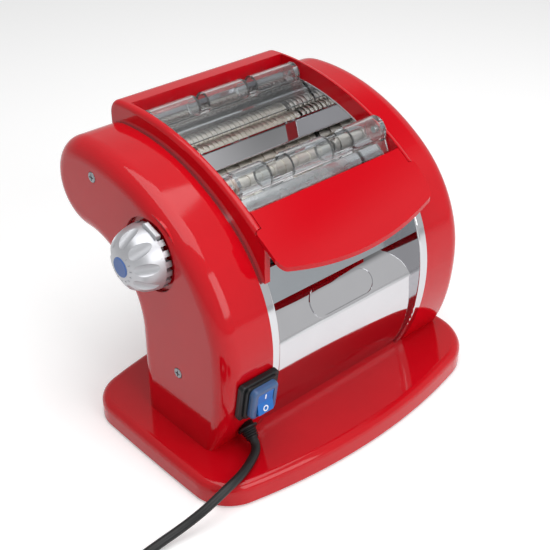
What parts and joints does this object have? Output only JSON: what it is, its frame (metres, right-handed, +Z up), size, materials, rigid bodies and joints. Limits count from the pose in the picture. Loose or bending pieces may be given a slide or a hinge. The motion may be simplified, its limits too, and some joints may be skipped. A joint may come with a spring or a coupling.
{
  "type": "pasta_machine",
  "caption": "Motorised countertop pasta roller with smooth rollers, wide and fine cutters, thickness knob, red covers and a mains cord",
  "frame": {"origin": "middle of the machine's outline on the floor, cord left out", "axes": "x along the rollers with the knob at -x, -y to the front, z up"},
  "size_m": [0.457, 0.3335, 0.241],
  "materials": {
    "red_shell": "high gloss lacquered ABS",
    "chrome_trim": "mirror polished",
    "steel_sheet": "satin sheet",
    "roller_alloy": "hard anodised, fine ground",
    "cutter_alloy": "hard anodised, warm grey",
    "gear_steel": "machined",
    "bronze": "sintered bushes",
    "motor_shell": "semi matt black",
    "silver_knob": "silver satin",
    "blue_cap": "blue insert",
    "black_plastic": "fine texture",
    "rocker_blue": "translucent blue",
    "boot_clear": "smoky blue elastomer",
    "clear_guard": "clear polycarbonate",
    "rubber_black": "matt",
    "cord_black": "matt PVC sheath",
    "pin_plate": "nickel plated"
  },
  "bodies": {
    "frame": {"base_tray": "red_shell", "base_cover": "steel_sheet", "rubber_feet": "rubber_black", "left_housing": "red_shell", "right_housing": "red_shell", "housing_screws": "gear_steel", "switch_bezel": "black_plastic", "switch_boot": "boot_clear", "left_side_plate": "chrome_trim", "right_side_plate": "chrome_trim", "roller_bushes": "bronze", "tie_rods": "gear_steel", "gear_axles": "gear_steel", "carrier_guides": "steel_sheet", "front_panel": "chrome_trim", "sheet_guide": "steel_sheet", "rear_panel": "steel_sheet", "rear_cover": "chrome_trim", "feed_wall": "chrome_trim", "divider_bar": "chrome_trim", "hood_frame": "red_shell", "hinge_pins": "gear_steel", "index_ring": "red_shell", "motor_body": "motor_shell", "motor_gearbox": "motor_shell", "motor_saddle": "black_plastic", "strain_relief": "rubber_black", "cord_lead": "cord_black", "cord_coil": "cord_black", "cord_tie": "black_plastic", "plug_body": "black_plastic", "plug_pins": "pin_plate"},
    "rocker": {"switch_rocker": "rocker_blue"},
    "visor_flap": {"visor": "red_shell"},
    "front_guard_flap": {"front_guard": "clear_guard"},
    "rear_guard_flap": {"rear_guard": "clear_guard"},
    "regulator": {"regulator_shaft": "gear_steel", "regulator_cam": "gear_steel", "knob_spring": "gear_steel"},
    "knob_grip": {"knob": "silver_knob", "knob_cap": "blue_cap"},
    "carrier": {"left_carrier": "bronze", "right_carrier": "bronze"},
    "adjustable_roll": {"adjustable_roller": "roller_alloy", "adjustable_roller_gear": "gear_steel"},
    "fixed_roll": {"fixed_roller": "roller_alloy", "fixed_roller_gear": "gear_steel"},
    "bull": {"bull_gear": "gear_steel"},
    "idler_low": {"idler_gear_low": "gear_steel"},
    "idler_high": {"idler_gear_high": "gear_steel"},
    "wide_front": {"wide_cutter_front": "cutter_alloy", "wide_front_gear": "gear_steel"},
    "wide_rear": {"wide_cutter_rear": "cutter_alloy", "wide_rear_gear": "gear_steel"},
    "fine_front": {"fine_cutter_front": "cutter_alloy", "fine_front_gear": "gear_steel"},
    "fine_rear": {"fine_cutter_rear": "cutter_alloy", "fine_rear_gear": "gear_steel"},
    "motor_rotor": {"motor_shaft": "gear_steel", "motor_pinion": "gear_steel"}
  },
  "joints": [
    {"name": "fixed_roller_turn", "type": "hinge", "parent": "frame", "child": "fixed_roll", "pos_m": [0.008, -0.03561, 0.1629], "axis": [1, 0, 0], "continuous": true},
    {"name": "regulator_turn", "type": "hinge", "parent": "frame", "child": "regulator", "pos_m": [-0.112, -0.00152, 0.1675], "axis": [1, 0, 0], "range_deg": [0, 150]},
    {"name": "knob_pull", "type": "slide", "parent": "regulator", "child": "knob_grip", "axis": [-1, 0, 0], "range_m": [0, 0.004], "stiffness_N_per_m": 500, "springref_m": -0.003, "deforming": ["knob_spring"]},
    {"name": "carrier_feed", "type": "slide", "parent": "frame", "child": "carrier", "axis": [0, -0.991, -0.1339], "range_m": [0, 0.002]},
    {"name": "adjustable_roller_turn", "type": "hinge", "parent": "carrier", "child": "adjustable_roll", "pos_m": [0.008, -0.00152, 0.1675], "axis": [1, 0, 0], "continuous": true},
    {"name": "bull_turn", "type": "hinge", "parent": "frame", "child": "bull", "pos_m": [0.008, -0.02807, 0.11337], "axis": [1, 0, 0], "continuous": true},
    {"name": "idler_low_turn", "type": "hinge", "parent": "frame", "child": "idler_low", "pos_m": [0.008, 0.01975, 0.15515], "axis": [1, 0, 0], "continuous": true},
    {"name": "idler_high_turn", "type": "hinge", "parent": "frame", "child": "idler_high", "pos_m": [0.008, 0.06857, 0.16844], "axis": [1, 0, 0], "continuous": true},
    {"name": "wide_rear_turn", "type": "hinge", "parent": "frame", "child": "wide_rear", "pos_m": [0.008, 0.04548, 0.175], "axis": [1, 0, 0], "continuous": true},
    {"name": "wide_front_turn", "type": "hinge", "parent": "frame", "child": "wide_front", "pos_m": [0.008, 0.02748, 0.175], "axis": [1, 0, 0], "continuous": true},
    {"name": "fine_rear_turn", "type": "hinge", "parent": "frame", "child": "fine_rear", "pos_m": [0.008, 0.08248, 0.188], "axis": [1, 0, 0], "continuous": true},
    {"name": "fine_front_turn", "type": "hinge", "parent": "frame", "child": "fine_front", "pos_m": [0.008, 0.06448, 0.188], "axis": [1, 0, 0], "continuous": true},
    {"name": "motor_turn", "type": "hinge", "parent": "frame", "child": "motor_rotor", "pos_m": [0.008, -0.02807, 0.06737], "axis": [1, 0, 0], "continuous": true},
    {"name": "visor_lift", "type": "hinge", "parent": "frame", "child": "visor_flap", "pos_m": [0.008, -0.05052, 0.1976], "axis": [-1, 0, 0], "range_deg": [0, 50]},
    {"name": "front_guard_lift", "type": "hinge", "parent": "frame", "child": "front_guard_flap", "pos_m": [0.008, -0.02702, 0.211], "axis": [-1, 0, 0], "range_deg": [0, 90]},
    {"name": "rear_guard_lift", "type": "hinge", "parent": "frame", "child": "rear_guard_flap", "pos_m": [0.008, 0.06948, 0.2296], "axis": [-1, 0, 0], "range_deg": [0, 75]},
    {"name": "switch_press", "type": "hinge", "parent": "frame", "child": "rocker", "pos_m": [-0.093, -0.08587, 0.07321], "axis": [1, 0, 0], "range_deg": [0, 16]}
  ],
  "couplings": [
    {"joint": "adjustable_roller_turn", "follows": "fixed_roller_turn", "ratio": -1},
    {"joint": "bull_turn", "follows": "fixed_roller_turn", "ratio": -0.5},
    {"joint": "idler_low_turn", "follows": "fixed_roller_turn", "ratio": 0.85106},
    {"joint": "wide_rear_turn", "follows": "fixed_roller_turn", "ratio": -2.2222},
    {"joint": "wide_front_turn", "follows": "fixed_roller_turn", "ratio": 2.2222},
    {"joint": "idler_high_turn", "follows": "fixed_roller_turn", "ratio": 1.3333},
    {"joint": "fine_rear_turn", "follows": "fixed_roller_turn", "ratio": -2.2222},
    {"joint": "fine_front_turn", "follows": "fixed_roller_turn", "ratio": 2.2222},
    {"joint": "motor_turn", "follows": "fixed_roller_turn", "ratio": 3.3333},
    {"joint": "regulator_turn", "follows": "carrier_feed", "rad_per_m": 1309}
  ]
}
